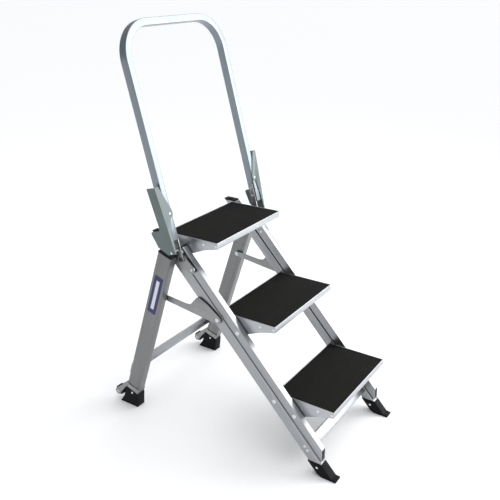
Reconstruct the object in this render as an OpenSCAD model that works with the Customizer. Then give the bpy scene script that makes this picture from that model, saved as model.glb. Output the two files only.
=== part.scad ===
// Folding three-step stool with a handrail hoop, standing open on the floor.
// Millimetres, +Z up, climbing side towards -Y, +X to the climber's right.
// Two rails per side carry the treads as a parallelogram; the rear legs hang
// from the upper rails and are tied to the lower rails by a gusset link.

/* [Steps] */
// Height from one tread to the next
step_rise = 230; // [200:1:260]
// Distance from one tread's front edge to the next
step_going = 208; // [180:1:240]
// Width of a tread over its side skirts
tread_w = 362; // [300:1:440]
// Depth of a tread, front to back
tread_d = 206; // [180:1:206]
// Sheet thickness of a tread tray
tread_wall = 2.5; // [2:0.1:3.5]
// Height of a tread's front lip
front_lip_h = 20; // [14:1:26]
// Thickness of the rubber mat let into a tread
mat_t = 4; // [2.5:0.1:5]
// Distance from a tread's front edge back to its front pivot
front_pivot_back = 124; // [100:1:140]
// Drop from a tread's top to its front pivot
front_pivot_drop = 45; // [38:1:50]
// Distance from a tread's rear edge forward to its rear pivot
rear_pivot_in = 11; // [10:1:16]
// Drop from a tread's top to its rear pivot
rear_pivot_drop = 15; // [13:1:18]

/* [Rails] */
// Width across an upper rail tube
upper_rail_w = 22; // [18:1:26]
// Depth of an upper rail tube
upper_rail_d = 29.5; // [24:0.5:32]
// Width across a lower rail tube
lower_rail_w = 26; // [22:1:30]
// Depth of a lower rail tube
lower_rail_d = 33; // [26:0.5:34]
// Wall of the rail tubes
rail_wall = 2; // [1.5:0.1:3]
// Gap between the treads and the lower rails
rail_gap = 2; // [1.8:0.1:3]
// Height of the front cross bar's face
cross_bar_h = 32; // [24:1:40]
// Distance up the rails from the floor line to the front cross bar
cross_bar_at = 100; // [95:1:125]

/* [Rear legs] */
// Width across a rear leg
leg_w = 30; // [24:1:34]
// Depth of a rear leg
leg_d = 53; // [46:1:60]
// Wall of a rear leg
leg_wall = 2; // [1.5:0.1:3]
// Lean of the rear legs from the vertical, feet backwards
leg_lean = 19.4; // [16:0.1:22]
// Distance from the leg pivot forward to the leg's front face
leg_pivot_in = 16.6; // [14:0.2:20]
// Height of the rear cross brace's face
brace_h = 45; // [30:1:60]
// Height of the rear cross brace's lower edge over the floor
brace_z = 122; // [110:1:200]

/* [Links] */
// Thickness of a gusset link
link_t = 3.5; // [2.5:0.1:4]
// Distance from the leg pivot down the leg to the link's end
link_drop = 158; // [140:1:175]

/* [Handrail] */
// Lean of the handrail from the vertical, top backwards
rail_lean = 14; // [8:0.5:18]
// Width of the hoop tube across the hoop
hoop_tube_w = 22.5; // [18:0.5:25]
// Depth of the hoop tube, front to back
hoop_tube_d = 28; // [22:0.5:32]
// Wall of the hoop tube
hoop_wall = 2; // [1.5:0.1:3]
// Height of the hoop's top over the handrail pivot, along the tube
hoop_h = 730.7; // [500:1:1000]
// Outer radius of the hoop's corners
hoop_r = 118; // [70:1:150]

/* [Feet and wheels] */
// Height of a front foot's rim over the floor
front_foot_h = 46; // [40:1:60]
// Wall of the rubber feet
foot_wall = 2.5; // [2:0.1:4]
// Length of a rear foot on the floor
rear_foot_len = 85; // [75:1:95]
// Radius of a transport wheel
wheel_r = 18; // [12:1:20]
// Width of a transport wheel
wheel_w = 18; // [12:1:20]

/* [Fits] */
// Radial clearance of a pin in a bore
pin_clear = 0.06; // [0.04:0.01:0.1]
// Side gap between sheets that slide past each other
slide_gap = 0.5; // [0.3:0.1:0.8]
// Radius of the tread pivot bolts
tread_pin_r = 4; // [3:0.5:5]
// Radius of the leg and handrail pivot bolts
main_pin_r = 5; // [4:0.5:6]

/* [Hidden] */
$fn = 48;
tiny = 0.01;

// Sides: right is +1 and left is -1.
right_side = 1;
left_side = -1;
both = [left_side, right_side];

// Layers from the middle of the stool outwards.
tread_x = tread_w / 2;
lower_rail_x = tread_x + rail_gap;
upper_rail_x = lower_rail_x + 1;
upper_rail_out = upper_rail_x + upper_rail_w;
lower_rail_out = lower_rail_x + lower_rail_w;
bolt_head_t = 2.5;
plate_x = lower_rail_out + bolt_head_t + slide_gap;
hinge_plate_t = 4;
hinge_plate_out = plate_x + hinge_plate_t;
link_out = plate_x + link_t;
leg_x = plate_x + hinge_plate_t + 3;
leg_out = leg_x + leg_w;
cap_over = 1;
strap_t = 4;
strap_gap = 1.5;
strap_x = hinge_plate_out + strap_gap;
hoop_in_x = strap_x + strap_t;
hoop_x = hoop_in_x + hoop_tube_w;

// Directions: points are [y, z]; u runs up the rails and n stands off them.
rail_angle = atan2(step_rise, step_going);
u = [cos(rail_angle), sin(rail_angle)];
n = [-sin(rail_angle), cos(rail_angle)];
function along(p) = p * u;
function perp(p) = p * n;
function on_rail(s, t) = s * u + t * n;
function turn(v, a) = [cos(a) * v[0] - sin(a) * v[1], sin(a) * v[0] + cos(a) * v[1]];

// Tread pivots. Tread i has its front top edge at front_edge(i).
treads = [0, 1, 2];
top_tread = 2;
middle_tread = 1;
function front_edge(i) = [i * step_going, (i + 1) * step_rise];
front_pin_local = [front_pivot_back, -front_pivot_drop];
rear_pin_local = [tread_d - rear_pivot_in, -rear_pivot_drop];
function front_pin(i) = front_edge(i) + front_pin_local;
function rear_pin(i) = front_edge(i) + rear_pin_local;

// Rails: the upper rail is centred on the front pins.
upper_perp = perp(front_pin(0));
lower_perp = perp(rear_pin(0)) - 3.1;
upper_rail_top = along(front_pin(top_tread)) + 9.5;
upper_rail_foot_y = 24;
lower_rail_foot = 30;
lower_rail_top = along(rear_pin(top_tread)) + 25;
lower_rail_end_z = on_rail(lower_rail_top, lower_perp)[1];

// Folding: the treads turn front edge up until they lie along the rails,
// and the upper rails swing up along the lower ones.
tread_fold = 180 - rail_angle;
leg_fold = 90 - rail_angle + leg_lean;
pin_arm = front_pin_local - rear_pin_local;
rail_travel = turn(pin_arm, -tread_fold) - pin_arm;

// Pivots of the handrail and of the rear legs, both on the hinge plate.
handrail_pin = on_rail(along(front_pin(top_tread)) - 20.5, upper_perp - 6);
leg_pin = on_rail(along(front_pin(top_tread)) + 1.6, upper_perp - 40);
plate_fix_pin = on_rail(along(front_pin(top_tread)) - 66, upper_perp - 1);
leg_down = [sin(leg_lean), -cos(leg_lean)];
leg_fore = [-cos(leg_lean), -sin(leg_lean)];

// The link turns on the middle tread's rear bolt. Its other end is placed so
// that the link has the same length with the stool open and folded.
link_pin = rear_pin(middle_tread);
open_arm = leg_pin - link_pin;
shut_arm = leg_pin + rail_travel - link_pin;
back_arm = turn(shut_arm, leg_fold);
link_w = open_arm - back_arm;
link_k = (shut_arm * shut_arm - open_arm * open_arm) / 2;
link_fore = (link_k - link_drop * (link_w * leg_down)) / (link_w * leg_fore);
link_end = leg_pin + link_drop * leg_down + link_fore * leg_fore;
link_vec = link_end - link_pin;
link_len = norm(link_vec);
link_tilt = atan2(link_vec[1], link_vec[0]);

// Rear leg ends, measured up the leg from its pivot.
leg_top = 17;
cap_t = 7;
leg_back = leg_d - leg_pivot_in;
foot_rim = -(leg_pin[1] - 62.5) / cos(leg_lean);
leg_foot = foot_rim - 22;
bracket_h = 18;
function leg_point(s, back) = leg_pin - s * leg_down - back * leg_fore;

// Rear foot and wheel.
foot_front_y = leg_point(foot_rim, -leg_pivot_in)[0] + 4.6;
wheel_centre = [foot_front_y + rear_foot_len + 8, wheel_r + 19];
wheel_mid_x = leg_x + leg_w / 2;
bracket_t = 2.5;
axle_r = 4;

// The whole stool is centred on its footprint, so its origin is on the floor
// under the middle.
front_foot_z0 = lower_perp - lower_rail_d / 2 - foot_wall;
front_foot_z1 = lower_perp + lower_rail_d / 2 + foot_wall;
function y_at(t, z) = (cos(rail_angle) * z - t) / sin(rail_angle);
toe_lip = 8;
toe_y = y_at(front_foot_z1, 0) - toe_lip;
origin_y = (toe_y + wheel_centre[0] + wheel_r) / 2;

// ---- Placing ---------------------------------------------------------------

// Puts children drawn in stool coordinates about the centred origin.
module placed() {
    translate([0, -origin_y, 0]) children();
}

// Mirrors children drawn for the right side onto the given side.
module on_side(side) {
    if (side > 0) children();
    else mirror([1, 0, 0]) children();
}

// Local Y runs up the rails and local Z stands off them.
module in_rail() {
    rotate([rail_angle, 0, 0]) children();
}

// Local Z runs up the rear leg from its pivot and local Y points backwards.
module in_leg() {
    translate([0, leg_pin[0], leg_pin[1]]) rotate([leg_lean, 0, 0]) children();
}

// Local Z runs up the handrail from its pivot and local Y points backwards.
module in_handrail() {
    translate([0, handrail_pin[0], handrail_pin[1]]) rotate([-rail_lean, 0, 0]) children();
}

module in_tread(i) {
    translate([0, front_edge(i)[0], front_edge(i)[1]]) children();
}

// Points along an arc round c, from angle a0 to a1.
function arc(c, r, a0, a1) = [for (i = [0:12]) c + turn([r, 0], a0 + (a1 - a0) * i / 12)];

// Extrudes a [y, z] outline along X from x0 over length w.
module slab(x0, w) {
    translate([x0, 0, 0]) rotate([90, 0, 90]) linear_extrude(height = w) children();
}

// A rod along X from x0 to x1 at [y, z].
module rod(p, x0, x1, r) {
    translate([x0, p[0], p[1]]) rotate([0, 90, 0]) cylinder(h = x1 - x0, r = r);
}

// A low dome head along X at [y, z], its flat side at x0.
module dome(p, x0, r, t) {
    big = (r * r + t * t) / (2 * t);
    translate([x0, p[0], p[1]]) rotate([0, 90, 0])
        rotate_extrude() intersection() {
            translate([0, t - big]) circle(r = big, $fn = 96);
            square([r, t]);
        }
}

// A washer along X at [y, z].
module washer(p, x0, x1, bore_r, r) {
    difference() {
        rod(p, x0, x1, r);
        rod(p, x0 - 1, x1 + 1, bore_r);
    }
}

// A rectangular tube along local Y.
module tube_y(x0, w, z0, d, y0, y1, wall) {
    difference() {
        translate([x0, y0, z0]) cube([w, y1 - y0, d]);
        translate([x0 + wall, y0 - 1, z0 + wall])
            cube([w - 2 * wall, y1 - y0 + 2, d - 2 * wall]);
    }
}

// ---- Lower rails, front feet and cross bar ------------------------------------

// A lip along the outer edge covers the slot under the upper rail. It starts
// above the front foot and ends short of the hinge plate's spacer.
rail_lip_t = lower_rail_out - upper_rail_out - 0.6;
rail_slot = upper_perp - upper_rail_d / 2 - lower_perp - lower_rail_d / 2;
rail_lip_h = rail_slot + 0.3;
rail_lip_foot = 52;
rail_lip_top = along(handrail_pin) - 12;

module lower_rail(side) {
    color([0.72, 0.73, 0.75]) placed() on_side(side) difference() {
        in_rail() union() {
            tube_y(lower_rail_x, lower_rail_w, lower_perp - lower_rail_d / 2,
                lower_rail_d, lower_rail_foot, lower_rail_top + lower_rail_d / 2, rail_wall);
            translate([lower_rail_out - rail_lip_t, rail_lip_foot, lower_perp + lower_rail_d / 2 - 1])
                cube([rail_lip_t, rail_lip_top - rail_lip_foot, rail_lip_h + 1]);
        }
        translate([0, 0, lower_rail_end_z]) cube([500, 2000, 200]);
        for (i = treads)
            rod(rear_pin(i), lower_rail_x - 1, lower_rail_out + 1, tread_pin_r + pin_clear);
        for (p = cross_bar_rivet_points)
            rod(p, lower_rail_x - 1, lower_rail_out + 1, rivet_r + pin_clear);
        rod(front_foot_screw_at, lower_rail_x - 1, lower_rail_out + 1, rivet_r + pin_clear);
    }
}

rail_plug_t = 5;
plug_fit = 0.05;

// A plastic plug at a rail tube's end: a lid over its edge and a spigot inside.
module rail_plug(x0, w, z0, d, end, spigot) {
    inset = rail_wall + plug_fit;
    translate([x0, end, z0]) cube([w, rail_plug_t, d]);
    translate([x0 + inset, end - spigot, z0 + inset])
        cube([w - 2 * inset, spigot + tiny, d - 2 * inset]);
}

// The lower rails are cut level at the top, and their lids lie flat with a
// round button on each.
module lower_rail_plugs() {
    inset = rail_wall + plug_fit;
    low_t = lower_perp - lower_rail_d / 2;
    high_t = lower_perp + lower_rail_d / 2;
    z0 = lower_rail_end_z;
    z1 = lower_rail_end_z + rail_plug_t;
    mid_y = (y_at(low_t, z1) + y_at(high_t, z1)) / 2;
    color([0.06, 0.06, 0.06]) placed() for (side = both) on_side(side) {
        slab(lower_rail_x, lower_rail_w) polygon([
            [y_at(high_t, z0), z0], [y_at(low_t, z0), z0],
            [y_at(low_t, z1), z1], [y_at(high_t, z1), z1]]);
        translate([lower_rail_x + lower_rail_w / 2, mid_y, z1 - tiny])
            cylinder(h = 2.5, r = 8);
        intersection() {
            in_rail() translate([lower_rail_x + inset, 0, low_t + inset])
                cube([lower_rail_w - 2 * inset, 2000, lower_rail_d - 2 * inset]);
            translate([0, 0, z0 - 8]) cube([500, 2000, 8 + tiny]);
        }
    }
}

// The rubber boot's outline: it wraps the rail, stands flat on the floor and
// has a small toe lip.
toe_lip_h = 8;
heel_cut = 8;
front_foot_screw_at = on_rail(48, lower_perp - 4);

module front_foot(side) {
    color([0.05, 0.05, 0.05]) placed() on_side(side) difference() {
        slab(lower_rail_x - foot_wall, lower_rail_w + 2 * foot_wall) polygon([
            [toe_y, 0],
            [y_at(front_foot_z0, 0) - heel_cut, 0],
            [y_at(front_foot_z0, heel_cut), heel_cut],
            [y_at(front_foot_z0, front_foot_h), front_foot_h],
            [y_at(front_foot_z1, front_foot_h), front_foot_h],
            [y_at(front_foot_z1, toe_lip_h), toe_lip_h],
            [toe_y, toe_lip_h - 1.5]]);
        in_rail() translate([lower_rail_x, lower_rail_foot, lower_perp - lower_rail_d / 2])
            cube([lower_rail_w, 120, lower_rail_d]);
        rod(front_foot_screw_at, lower_rail_x - foot_wall - 1, lower_rail_out + foot_wall + 1,
            rivet_r + pin_clear);
    }
}

rivet_r = 2.4;
rivet_head_r = 4.4;
rivet_head_t = 1.6;

// A through rivet along X with a dome head at each end.
module rivet(p, x0, x1) {
    rod(p, x0 - tiny, x1 + tiny, rivet_r);
    dome(p, x1, rivet_head_r, rivet_head_t);
    translate([x0, 0, 0]) mirror([1, 0, 0]) dome(p, 0, rivet_head_r, rivet_head_t);
}

module front_foot_screws() {
    color([0.78, 0.78, 0.76]) placed() for (side = both) on_side(side)
        rivet(front_foot_screw_at, lower_rail_x - foot_wall, lower_rail_out + foot_wall);
}

cross_bar_t = 3;
cross_bar_flange = 16;
cross_bar_face = lower_perp + 14;
cross_bar_rivet_points = [
    on_rail(cross_bar_at + cross_bar_h / 2 - 8, lower_perp + 3),
    on_rail(cross_bar_at + cross_bar_h / 2 + 8, lower_perp + 3)];

module front_cross_bar() {
    color([0.80, 0.81, 0.83]) placed() difference() {
        in_rail() translate([-lower_rail_x, cross_bar_at, cross_bar_face - cross_bar_flange])
            difference() {
                cube([2 * lower_rail_x, cross_bar_h, cross_bar_flange]);
                translate([cross_bar_t, cross_bar_t, -1])
                    cube([2 * (lower_rail_x - cross_bar_t), cross_bar_h - 2 * cross_bar_t,
                        cross_bar_flange - cross_bar_t + 1]);
            }
        for (p = cross_bar_rivet_points, side = both) on_side(side)
            rod(p, lower_rail_x - cross_bar_t - 1, lower_rail_x + 1, rivet_r + pin_clear);
    }
}

module front_cross_bar_rivets() {
    color([0.80, 0.80, 0.78]) placed() for (side = both, p = cross_bar_rivet_points)
        on_side(side) rivet(p, lower_rail_x - cross_bar_t, lower_rail_out);
}

// ---- Tread pivots ---------------------------------------------------------------

pivot_head_r = 7;
inner_head_t = 3;
side_play = 0.3;

// A pivot bolt from inside the tread skirt to a head outside the rail.
module pivot_bolt(p, out_x) {
    in_x = tread_x - tread_wall - side_play;
    rod(p, in_x - inner_head_t, in_x, pivot_head_r - 1);
    rod(p, in_x - tiny, out_x + tiny, tread_pin_r);
    dome(p, out_x, pivot_head_r, bolt_head_t);
}

// The middle pair is longer, because the links turn on it too.
module rear_pivot_bolts() {
    color([0.70, 0.71, 0.72]) placed() for (side = both, i = treads) on_side(side)
        pivot_bolt(rear_pin(i), i == middle_tread ? link_out + side_play : lower_rail_out);
}

module rear_pivot_washers() {
    color([0.85, 0.85, 0.82]) placed() for (side = both) on_side(side) {
        for (i = treads)
            washer(rear_pin(i), tread_x + side_play, lower_rail_x,
                tread_pin_r + pin_clear, pivot_head_r + 1);
        washer(rear_pin(middle_tread), lower_rail_out, plate_x - side_play,
            tread_pin_r + pin_clear, pivot_head_r + 1);
    }
}

module front_pivot_bolts() {
    color([0.70, 0.71, 0.72]) placed() for (side = both, i = treads) on_side(side)
        pivot_bolt(front_pin(i), upper_rail_out);
}

module front_pivot_washers() {
    color([0.85, 0.85, 0.82]) placed() for (side = both, i = treads) on_side(side)
        washer(front_pin(i), tread_x + side_play, upper_rail_x,
            tread_pin_r + pin_clear, pivot_head_r + 1);
}

// ---- Upper rails and hinge plates -------------------------------------------------

module upper_rail(side) {
    color([0.74, 0.75, 0.77]) placed() on_side(side) difference() {
        in_rail() tube_y(upper_rail_x, upper_rail_w, upper_perp - upper_rail_d / 2,
            upper_rail_d, 0, upper_rail_top, rail_wall);
        translate([0, upper_rail_foot_y - 500, -200]) cube([500, 500, 600]);
        for (i = treads)
            rod(front_pin(i), upper_rail_x - 1, upper_rail_out + 1, tread_pin_r + pin_clear);
        rod(handrail_pin, upper_rail_x - 1, upper_rail_out + 1, main_pin_r + pin_clear);
        rod(plate_fix_pin, upper_rail_x - 1, upper_rail_out + 1, rivet_r + pin_clear);
    }
}

// The lower plug is cut upright like the rail's foot.
module upper_rail_plugs() {
    inset = rail_wall + plug_fit;
    color([0.06, 0.06, 0.06]) placed() for (side = both) on_side(side) {
        in_rail() rail_plug(upper_rail_x, upper_rail_w, upper_perp - upper_rail_d / 2,
            upper_rail_d, upper_rail_top, 4);
        intersection() {
            in_rail() translate([upper_rail_x + inset, 0,
                upper_perp - upper_rail_d / 2 + inset])
                cube([upper_rail_w - 2 * inset, 200, upper_rail_d - 2 * inset]);
            translate([0, upper_rail_foot_y + 0.5, 0]) cube([500, 12, 200]);
        }
    }
}

plate_eye_r = 13;

module hinge_plate(side) {
    color([0.10, 0.10, 0.11]) placed() on_side(side) difference() {
        slab(plate_x, hinge_plate_t) hull()
            for (p = [plate_fix_pin, handrail_pin, leg_pin])
                translate(p) circle(r = plate_eye_r, $fn = 32);
        rod(handrail_pin, plate_x - 1, hinge_plate_out + 1, main_pin_r + pin_clear);
        rod(leg_pin, plate_x - 1, hinge_plate_out + 1, main_pin_r + pin_clear);
        rod(plate_fix_pin, plate_x - 1, hinge_plate_out + 1, rivet_r + pin_clear);
    }
}

// Spacers stand the hinge plate off the upper rail.
module hinge_plate_spacers() {
    color([0.60, 0.61, 0.62]) placed() for (side = both) on_side(side) {
        washer(handrail_pin, upper_rail_out, plate_x, main_pin_r + pin_clear, 10);
        washer(plate_fix_pin, upper_rail_out, plate_x, rivet_r + pin_clear, 8);
        washer(handrail_pin, hinge_plate_out, strap_x - side_play,
            main_pin_r + pin_clear, 9);
    }
}

module hinge_plate_rivets() {
    color([0.78, 0.78, 0.76]) placed() for (side = both) on_side(side) {
        rod(plate_fix_pin, upper_rail_x - tiny, hinge_plate_out + tiny, rivet_r);
        dome(plate_fix_pin, hinge_plate_out, rivet_head_r, rivet_head_t);
        translate([upper_rail_x, 0, 0]) mirror([1, 0, 0])
            dome(plate_fix_pin, 0, rivet_head_r, 0.7);
    }
}

module handrail_pivot_bolts() {
    color([0.15, 0.15, 0.16]) placed() for (side = both) on_side(side) {
        rod(handrail_pin, upper_rail_x - tiny, hoop_in_x + side_play + tiny, main_pin_r);
        dome(handrail_pin, hoop_in_x + side_play, 8, 3.5);
        translate([upper_rail_x, 0, 0]) mirror([1, 0, 0]) dome(handrail_pin, 0, 8, 0.8);
    }
}

nut_t = 3;

module leg_pivot_bolts() {
    wall_in = leg_x + leg_wall + side_play;
    color([0.70, 0.71, 0.72]) placed() for (side = both) on_side(side) {
        rod(leg_pin, plate_x - 2, plate_x, 8);
        rod(leg_pin, plate_x - tiny, wall_in + nut_t, main_pin_r);
        washer(leg_pin, wall_in, wall_in + nut_t, main_pin_r - tiny, 8);
    }
}

module leg_pivot_washers() {
    color([0.85, 0.85, 0.82]) placed() for (side = both) on_side(side)
        washer(leg_pin, hinge_plate_out, leg_x - side_play, main_pin_r + pin_clear, 10);
}

// ---- Treads -------------------------------------------------------------------------

skirt_low = front_pivot_drop + 12;
skirt_rear = rear_pivot_drop + 13;

// A tread's side outline: shallow at the front lip, deep round the front pivot.
function skirt_outline() = [[0, 0], [0, -front_lip_h], [52, -front_lip_h - 13],
    [front_pivot_back - 20, -skirt_low + 2], [front_pivot_back + 10, -skirt_low],
    [tread_d, -skirt_rear], [tread_d, 0]];

module tread(i) {
    inner_x = tread_x - tread_wall;
    deck_z = -mat_t - tread_wall;
    color([0.76, 0.77, 0.79]) placed() in_tread(i) difference() {
        slab(-tread_x, tread_w) polygon(skirt_outline());
        translate([-inner_x, tread_wall, -mat_t])
            cube([2 * inner_x, tread_d - 2 * tread_wall, mat_t + 1]);
        translate([-inner_x, tread_wall, deck_z - 200])
            cube([2 * inner_x, tread_d - 2 * tread_wall, 200]);
        for (p = [front_pin_local, rear_pin_local])
            rod(p, -tread_x - 1, tread_x + 1, tread_pin_r + pin_clear);
        for (p = tread_rivet_points)
            rod(p, -tread_x - 1, tread_x + 1, rivet_r + pin_clear);
    }
}

mat_gap = 0.15;

module mat(i) {
    inner_x = tread_x - tread_wall - mat_gap;
    y0 = tread_wall + mat_gap;
    color([0.09, 0.09, 0.08]) placed() in_tread(i)
        translate([-inner_x, y0, -mat_t]) cube([2 * inner_x, tread_d - 2 * y0, mat_t]);
}

tread_rivet_points = [[7, -12], [55, -15]];

module tread_rivets(i) {
    color([0.85, 0.85, 0.84]) placed() in_tread(i)
        for (side = both, p = tread_rivet_points) on_side(side) {
            rod(p, tread_x - tread_wall - tiny, tread_x + tiny, rivet_r);
            dome(p, tread_x, rivet_head_r - 0.6, 1.2);
            translate([tread_x - tread_wall, 0, 0]) mirror([1, 0, 0])
                dome(p, 0, rivet_head_r, rivet_head_t);
        }
}

// ---- Rear legs ------------------------------------------------------------------------

groove_w = 3;
groove_deep = 1;
groove_at = 10;

module rear_leg(side) {
    color([0.66, 0.67, 0.68]) placed() on_side(side) difference() {
        in_leg() difference() {
            translate([leg_x, -leg_pivot_in, leg_foot]) cube([leg_w, leg_d, leg_top - leg_foot]);
            translate([leg_x + leg_wall, -leg_pivot_in + leg_wall, leg_foot - 1])
                cube([leg_w - 2 * leg_wall, leg_d - 2 * leg_wall, leg_top - leg_foot + 2]);
            translate([leg_x - 1, groove_at - leg_pivot_in, leg_foot - 1])
                cube([1 + groove_deep, groove_w, leg_top - leg_foot + 2]);
        }
        rod(leg_pin, leg_x - 1, leg_x + leg_wall + 1, main_pin_r + pin_clear);
        for (p = foot_rivet_points)
            rod(p, leg_x - 1, leg_out + 1, rivet_r + pin_clear);
        for (p = bracket_rivet_points)
            rod(p, leg_x - 1, leg_out + 1, rivet_r + pin_clear);
    }
}

module leg_cap(side) {
    inset = leg_wall + 0.05;
    color([0.05, 0.05, 0.05]) placed() on_side(side) in_leg() {
        translate([leg_x - cap_over, -leg_pivot_in - cap_over, leg_top])
            cube([leg_w + 2 * cap_over, leg_d + 2 * cap_over, cap_t]);
        translate([leg_x + inset, -leg_pivot_in + inset, leg_top - 7])
            cube([leg_w - 2 * inset, leg_d - 2 * inset, 7 + tiny]);
    }
}

foot_over = 2.5;
foot_rivet_points = [leg_point(foot_rim - 11, 8)];

module rear_foot(side) {
    rim_front = leg_point(foot_rim, -leg_pivot_in - foot_over);
    rim_back = leg_point(foot_rim, leg_back + foot_over);
    heel_y = foot_front_y + rear_foot_len;
    color([0.05, 0.05, 0.05]) placed() on_side(side) difference() {
        slab(leg_x - foot_over, leg_w + 2 * foot_over) polygon([
            rim_front, [foot_front_y, 0], [heel_y, 0], [heel_y - 19, 26], rim_back]);
        in_leg() translate([leg_x, -leg_pivot_in, leg_foot]) cube([leg_w, leg_d, 200]);
        for (p = foot_rivet_points)
            rod(p, leg_x - foot_over - 1, leg_out + foot_over + 1, rivet_r + pin_clear);
    }
}

module rear_foot_rivets() {
    color([0.80, 0.80, 0.78]) placed() for (side = both, p = foot_rivet_points)
        on_side(side) rivet(p, leg_x - foot_over, leg_out + foot_over);
}

brace_t = 3;
brace_lip = 12;
brace_low = -(leg_pin[1] - brace_z - 5) / cos(leg_lean);
brace_rivet_side = leg_x + leg_w / 2;
brace_rivet_z = [brace_low + 12, brace_low + brace_h - 12];

// An angle across the backs of the legs, its lip turned forward between them.
module rear_cross_brace() {
    color([0.72, 0.73, 0.74]) placed() in_leg() difference() {
        union() {
            translate([-leg_out, leg_back, brace_low]) cube([2 * leg_out, brace_t, brace_h]);
            translate([-leg_x + slide_gap, leg_back + brace_t - brace_lip, brace_low])
                cube([2 * (leg_x - slide_gap), brace_lip, brace_t]);
        }
        for (side = both, z = brace_rivet_z)
            translate([side * brace_rivet_side, leg_back - 1, z]) rotate([-90, 0, 0])
                cylinder(h = brace_t + 2, r = rivet_r + pin_clear);
    }
}

module rear_brace_rivets() {
    color([0.80, 0.80, 0.78]) placed() in_leg() for (side = both, z = brace_rivet_z)
        translate([side * brace_rivet_side, leg_back, z]) rotate([-90, 0, 0]) {
            cylinder(h = brace_t + tiny, r = rivet_r);
            translate([0, 0, brace_t]) rotate([0, -90, 0]) dome([0, 0], 0, rivet_head_r, rivet_head_t);
        }
}

label_w = 35;
label_h = 150;
label_t = 0.6;
label_top = -68;

// A plain rounded sticker on the left leg's outer face.
module label_plate() {
    r = 3;
    color([0.10, 0.12, 0.38]) placed() on_side(left_side) in_leg()
        slab(leg_out, label_t) translate([leg_d / 2 - leg_pivot_in, label_top - label_h / 2]) {
            square([label_w - 2 * r, label_h], center = true);
            square([label_w, label_h - 2 * r], center = true);
            for (sx = both, sz = both)
                translate([sx * (label_w / 2 - r), sz * (label_h / 2 - r)]) circle(r = r);
        }
}

// ---- Wheels ------------------------------------------------------------------------------

bracket_rivet_points = [leg_point(foot_rim + 9, 24)];

// One cheek of the wheel bracket: a band round the leg and an arm to the axle.
module bracket_cheek(x0) {
    band_low = foot_rim + slide_gap;
    band_top = foot_rim + slide_gap + bracket_h;
    slab(x0, bracket_t) {
        polygon([leg_point(band_low, -leg_pivot_in), leg_point(band_low, leg_back + 4),
            leg_point(band_top, leg_back + 4), leg_point(band_top, -leg_pivot_in)]);
        polygon([leg_point(band_low, leg_back + 3.2), leg_point(band_top, leg_back - 6),
            leg_point(band_top, leg_back + 4), wheel_centre + [7, 11],
            wheel_centre + [-10, -4]]);
        translate(wheel_centre) circle(r = 13);
    }
}

module wheel_bracket(side) {
    color([0.62, 0.63, 0.64]) placed() on_side(side) difference() {
        union() {
            bracket_cheek(leg_out);
            bracket_cheek(leg_x - bracket_t);
            in_leg() translate([leg_x - tiny, leg_back, foot_rim + slide_gap])
                cube([leg_w + 2 * tiny, bracket_t, bracket_h]);
        }
        rod(wheel_centre, leg_x - bracket_t - 1, leg_out + bracket_t + 1, axle_r + pin_clear);
        for (p = bracket_rivet_points)
            rod(p, leg_x - bracket_t - 1, leg_out + bracket_t + 1, rivet_r + pin_clear);
    }
}

// The axles and the rivets that hold the wheel brackets to the legs.
module wheel_axles() {
    color([0.70, 0.71, 0.72]) placed() for (side = both) on_side(side) {
        rod(wheel_centre, leg_x - bracket_t - tiny, leg_out + bracket_t + tiny, axle_r);
        dome(wheel_centre, leg_out + bracket_t, 6.5, 2);
        translate([leg_x - bracket_t, 0, 0]) mirror([1, 0, 0]) dome(wheel_centre, 0, 6.5, 2);
        for (p = bracket_rivet_points) rivet(p, leg_x - bracket_t, leg_out + bracket_t);
    }
}

tyre_t = 4;

module wheel_hub(side) {
    color([0.55, 0.56, 0.57]) placed() on_side(side) difference() {
        union() {
            rod(wheel_centre, wheel_mid_x - wheel_w / 2, wheel_mid_x + wheel_w / 2,
                wheel_r - tyre_t);
            rod(wheel_centre, wheel_mid_x - leg_w / 2 + side_play,
                wheel_mid_x + leg_w / 2 - side_play, axle_r + 3);
        }
        rod(wheel_centre, leg_x - 1, leg_out + 1, axle_r + pin_clear);
    }
}

module wheel_tyre(side) {
    color([0.06, 0.06, 0.06]) placed() on_side(side)
        washer(wheel_centre, wheel_mid_x - wheel_w / 2, wheel_mid_x + wheel_w / 2,
            wheel_r - tyre_t, wheel_r);
}

// ---- Links ------------------------------------------------------------------------------------

link_eye_r = 15;
link_strap_r = 10;

// A gusset from the middle tread's rear bolt, wide over the lower rail and
// narrowing to a strap that reaches the leg.
module link(side) {
    color([0.68, 0.69, 0.70]) placed() on_side(side)
        translate([0, link_pin[0], link_pin[1]]) difference() {
            slab(plate_x, link_t) polygon(concat(
                arc([0, 0], link_eye_r, rail_angle + 90, link_tilt + 270),
                arc(link_vec, link_strap_r, link_tilt - 90, link_tilt + 90),
                [turn([link_len * 0.56, link_strap_r], link_tilt),
                    turn([link_len * 0.48, link_strap_r + 5], link_tilt),
                    96 * u - 20 * n, 88 * u - 8 * n, 55 * u + 4 * n]));
            rod([0, 0], plate_x - 1, link_out + 1, tread_pin_r + pin_clear);
            rod(link_vec, plate_x - 1, link_out + 1, main_pin_r);
        }
}

// The pin stays with the link and stops just short of the leg.
module link_end_pins() {
    color([0.70, 0.71, 0.72]) placed() for (side = both) on_side(side) {
        rod(link_end, plate_x - 2, plate_x, 8);
        rod(link_end, plate_x - tiny, link_out + tiny, main_pin_r);
        rod(link_end, link_out, leg_x - slide_gap, 7);
    }
}

// ---- Handrail ---------------------------------------------------------------------------------

hoop_low = 68;
hoop_front = -12.5;
hoop_mid_y = hoop_front + hoop_tube_d / 2;

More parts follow.
